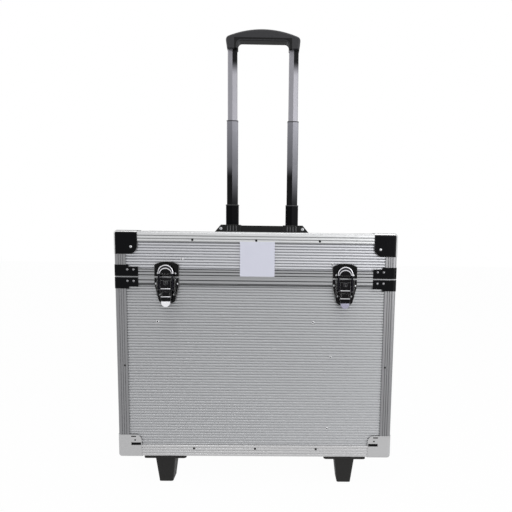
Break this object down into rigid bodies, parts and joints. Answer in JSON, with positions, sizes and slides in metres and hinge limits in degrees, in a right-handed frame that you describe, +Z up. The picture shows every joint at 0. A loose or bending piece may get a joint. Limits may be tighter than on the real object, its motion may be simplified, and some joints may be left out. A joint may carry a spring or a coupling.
{
  "type": "portable dental unit",
  "caption": "Wheeled aluminium trolley case with telescopic handle, draw latches and a lift-off lid, holding a compressed-air dental delivery unit with bottles and instruments.",
  "frame": {"origin": "on the floor, at the middle of the footprint of the whole part", "axes": "+Z up, the front with the key latches faces -Y, +X to the right seen from the front"},
  "size_m": [0.4516, 0.2824, 0.8208],
  "materials": {
    "ribbed_sheet": "satin ribbed sheet on a laminated board",
    "edge_profile": "satin anodised",
    "rim_profile": "satin anodised, grooved",
    "black_fitting": "gloss black",
    "silver_fitting": "zinc plated",
    "chrome": "polished",
    "black_latch": "black chrome",
    "tube": "dark anodised",
    "black_plastic": "moulded, fine texture",
    "foam": "soft foam",
    "base_board": "laminated board",
    "foot_rubber": "matte",
    "tyre": "matte",
    "steel": "plain",
    "deck_paint": "white powder coat",
    "motor_paint": "cast, painted",
    "head_metal": "die cast",
    "tank_paint": "painted shell",
    "hose": "smooth",
    "valve_metal": "machined",
    "gauge_case": "polished bezel",
    "bottle_plastic": "clear",
    "cap_plastic": "moulded",
    "instrument_steel": "satin"
  },
  "bodies": {
    "case": {"body_front_panel": "ribbed_sheet", "body_rear_panel": "ribbed_sheet", "body_end_panels": "ribbed_sheet", "base_panel": "base_board", "base_edge_profiles": "edge_profile", "body_corner_posts": "edge_profile", "body_rim_profile": "rim_profile", "base_corner_caps": "silver_fitting", "body_seam_clips": "black_fitting", "vent_grille": "black_plastic", "latch_plates": "black_latch", "front_feet": "foot_rubber", "wheel_housings": "black_plastic", "wheel_axles": "steel", "trolley_outer_tubes": "tube", "trolley_top_bracket": "black_plastic", "trolley_clamps": "black_plastic", "control_deck": "deck_paint", "water_bottle": "bottle_plastic", "waste_bottle": "bottle_plastic", "bottle_caps": "cap_plastic", "pressure_gauge": "gauge_case", "valve_block": "valve_metal", "power_inlet": "black_plastic", "compressor_motor": "motor_paint", "compressor_head": "head_metal", "compressor_mounts": "foot_rubber", "air_tank": "tank_paint", "tank_saddles": "steel", "air_hoses": "hose", "instrument_rail": "black_plastic", "three_way_syringe": "instrument_steel", "handpieces": "instrument_steel"},
    "lid": {"lid_front_panel": "ribbed_sheet", "lid_rear_panel": "ribbed_sheet", "lid_end_panels": "ribbed_sheet", "lid_top_panel": "ribbed_sheet", "lid_edge_profiles": "edge_profile", "lid_corner_posts": "edge_profile", "lid_rim_profile": "rim_profile", "lid_corner_caps": "black_fitting", "lid_seam_clips": "black_fitting", "lid_foam_liner": "foam", "latch_keepers": "black_latch"},
    "wheel_left": {"wheel_left": "tyre"},
    "wheel_right": {"wheel_right": "tyre"},
    "middle_stage": {"trolley_middle_tubes": "tube"},
    "handle_stage": {"trolley_inner_tubes": "tube", "trolley_grip": "black_plastic"},
    "release_button": {"release_button": "black_plastic"},
    "regulator_knob": {"regulator_knob": "black_plastic"},
    "power_rocker": {"power_rocker": "black_plastic"},
    "latch_lever_front_left": {"latch_lever_front_left": "black_latch"},
    "latch_bail_front_left": {"latch_bail_front_left": "chrome"},
    "latch_lever_front_right": {"latch_lever_front_right": "black_latch"},
    "latch_bail_front_right": {"latch_bail_front_right": "chrome"},
    "latch_lever_rear_left": {"latch_lever_rear_left": "black_latch"},
    "latch_bail_rear_left": {"latch_bail_rear_left": "chrome"},
    "latch_lever_rear_right": {"latch_lever_rear_right": "black_latch"},
    "latch_bail_rear_right": {"latch_bail_rear_right": "chrome"}
  },
  "joints": [
    {"name": "lid_lift", "type": "slide", "parent": "case", "child": "lid", "axis": [0, 0, 1], "range_m": [0, 0.12]},
    {"name": "latch_front_left_turn", "type": "hinge", "parent": "case", "child": "latch_lever_front_left", "pos_m": [-0.142, -0.13375, 0.343], "axis": [-1, 0, 0], "range_deg": [0, 120]},
    {"name": "bail_front_left_swing", "type": "hinge", "parent": "latch_lever_front_left", "child": "latch_bail_front_left", "pos_m": [-0.142, -0.13735, 0.3273], "axis": [-1, 0, 0], "range_deg": [-120, 0]},
    {"name": "latch_front_right_turn", "type": "hinge", "parent": "case", "child": "latch_lever_front_right", "pos_m": [0.142, -0.13375, 0.343], "axis": [-1, 0, 0], "range_deg": [0, 120]},
    {"name": "bail_front_right_swing", "type": "hinge", "parent": "latch_lever_front_right", "child": "latch_bail_front_right", "pos_m": [0.142, -0.13735, 0.3273], "axis": [-1, 0, 0], "range_deg": [-120, 0]},
    {"name": "latch_rear_left_turn", "type": "hinge", "parent": "case", "child": "latch_lever_rear_left", "pos_m": [-0.142, 0.11625, 0.343], "axis": [1, 0, 0], "range_deg": [0, 120]},
    {"name": "bail_rear_left_swing", "type": "hinge", "parent": "latch_lever_rear_left", "child": "latch_bail_rear_left", "pos_m": [-0.142, 0.11985, 0.3273], "axis": [1, 0, 0], "range_deg": [-120, 0]},
    {"name": "latch_rear_right_turn", "type": "hinge", "parent": "case", "child": "latch_lever_rear_right", "pos_m": [0.142, 0.11625, 0.343], "axis": [1, 0, 0], "range_deg": [0, 120]},
    {"name": "bail_rear_right_swing", "type": "hinge", "parent": "latch_lever_rear_right", "child": "latch_bail_rear_right", "pos_m": [0.142, 0.11985, 0.3273], "axis": [1, 0, 0], "range_deg": [-120, 0]},
    {"name": "middle_stage_slide", "type": "slide", "parent": "case", "child": "middle_stage", "axis": [0, 0, 1], "range_m": [-0.1665, 0]},
    {"name": "handle_slide", "type": "slide", "parent": "middle_stage", "child": "handle_stage", "axis": [0, 0, 1], "range_m": [-0.1369, 0]},
    {"name": "release_button_press", "type": "slide", "parent": "handle_stage", "child": "release_button", "axis": [0, 0, -1], "range_m": [0, 0.005], "stiffness_N_per_m": 400, "springref_m": -0.004},
    {"name": "regulator_turn", "type": "hinge", "parent": "case", "child": "regulator_knob", "pos_m": [-0.082, -0.02075, 0.302], "axis": [0, 0, 1], "range_deg": [0, 300]},
    {"name": "power_switch_rock", "type": "hinge", "parent": "case", "child": "power_rocker", "pos_m": [-0.082, 0.03325, 0.3027], "axis": [1, 0, 0], "range_deg": [0, 16]},
    {"name": "wheel_left_spin", "type": "hinge", "parent": "case", "child": "wheel_left", "pos_m": [-0.17, 0.10525, 0.021], "axis": [1, 0, 0], "continuous": true},
    {"name": "wheel_right_spin", "type": "hinge", "parent": "case", "child": "wheel_right", "pos_m": [0.17, 0.10525, 0.021], "axis": [1, 0, 0], "continuous": true}
  ],
  "couplings": [
    {"joint": "bail_front_left_swing", "follows": "latch_front_left_turn", "ratio": -1},
    {"joint": "bail_front_right_swing", "follows": "latch_front_right_turn", "ratio": -1},
    {"joint": "bail_rear_left_swing", "follows": "latch_rear_left_turn", "ratio": -1},
    {"joint": "bail_rear_right_swing", "follows": "latch_rear_right_turn", "ratio": -1}
  ]
}
